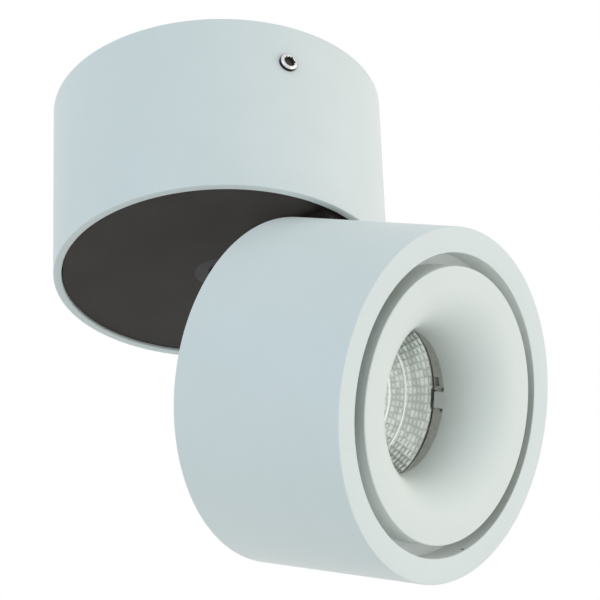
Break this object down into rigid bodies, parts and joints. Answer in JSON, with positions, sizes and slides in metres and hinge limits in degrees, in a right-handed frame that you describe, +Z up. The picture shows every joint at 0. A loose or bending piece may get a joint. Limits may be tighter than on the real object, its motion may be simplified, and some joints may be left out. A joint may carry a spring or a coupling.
{
  "type": "surface mounted ceiling spotlight",
  "caption": "Round white surface spotlight whose lamp head turns on its ceiling canopy and folds out on a hinge, with a deep bell-mouthed front.",
  "frame": {"origin": "centre of the ceiling face, midway between the two ceiling slots", "axes": "+Z up into the ceiling and along the swivel axis; the head points towards -Y at rest; +X along the hinge axis"},
  "size_m": [0.1013, 0.1436, 0.1726],
  "materials": {
    "white_paint": "fine satin powder coat",
    "baffle_white": "matte white",
    "black_paint": "matte black",
    "bright_steel": "polished",
    "plated_steel": "zinc plated",
    "black_screws": "black oxide",
    "galvanised_plate": "galvanised",
    "black_rubber": "matte",
    "terminal_plastic": "moulded",
    "brass": "turned",
    "driver_plastic": "moulded",
    "nylon": "natural nylon",
    "cast_aluminium": "as cast",
    "sink_aluminium": "forged",
    "pad_grey": "matte",
    "led_ceramic": "white ceramic",
    "phosphor_yellow": "satin silicone",
    "holder_white": "moulded",
    "reflector_silver": "bright faceted",
    "clear_glass": "clear",
    "ring_grey": "satin grey"
  },
  "bodies": {
    "canopy": {"mounting_plate": "galvanised_plate", "canopy_shell": "white_paint", "canopy_screws": "bright_steel", "entry_grommet": "black_rubber", "terminal_block": "terminal_plastic", "terminal_screw": "plated_steel", "earth_screw": "brass", "driver_case": "driver_plastic", "driver_cover": "driver_plastic", "driver_screws": "plated_steel", "stop_pin": "plated_steel", "thrust_washer": "nylon"},
    "swivel": {"swivel_disc": "black_paint", "swivel_bush": "black_screws", "swivel_washer": "plated_steel", "spring_washer": "plated_steel", "swivel_nut": "plated_steel", "bush_grommet": "black_rubber", "hinge_bracket": "black_paint", "bracket_screws": "black_screws", "hinge_pin": "bright_steel", "pin_clip": "plated_steel"},
    "head": {"head_housing": "white_paint", "back_plate": "black_paint", "back_plate_screws": "black_screws", "head_grommet": "black_rubber", "hinge_knuckle": "cast_aluminium", "knuckle_screws": "plated_steel", "friction_washers": "nylon", "heat_sink": "sink_aluminium", "heat_sink_screws": "plated_steel", "thermal_pad": "pad_grey", "led_cob": "led_ceramic", "led_phosphor": "phosphor_yellow", "cob_holder": "holder_white", "cob_screws": "plated_steel", "reflector": "reflector_silver", "glass_lens": "clear_glass", "lens_ring": "ring_grey", "trim_baffle": "baffle_white", "baffle_screws": "plated_steel"}
  },
  "joints": [
    {"name": "swivel_turn", "type": "hinge", "parent": "canopy", "child": "swivel", "pos_m": [0, 0, -0.0573], "axis": [0, 0, 1], "range_deg": [-175, 175]},
    {"name": "head_fold", "type": "hinge", "parent": "swivel", "child": "head", "pos_m": [0, -0.0447, -0.0656], "axis": [-1, 0, 0], "range_deg": [-67, 23]}
  ]
}
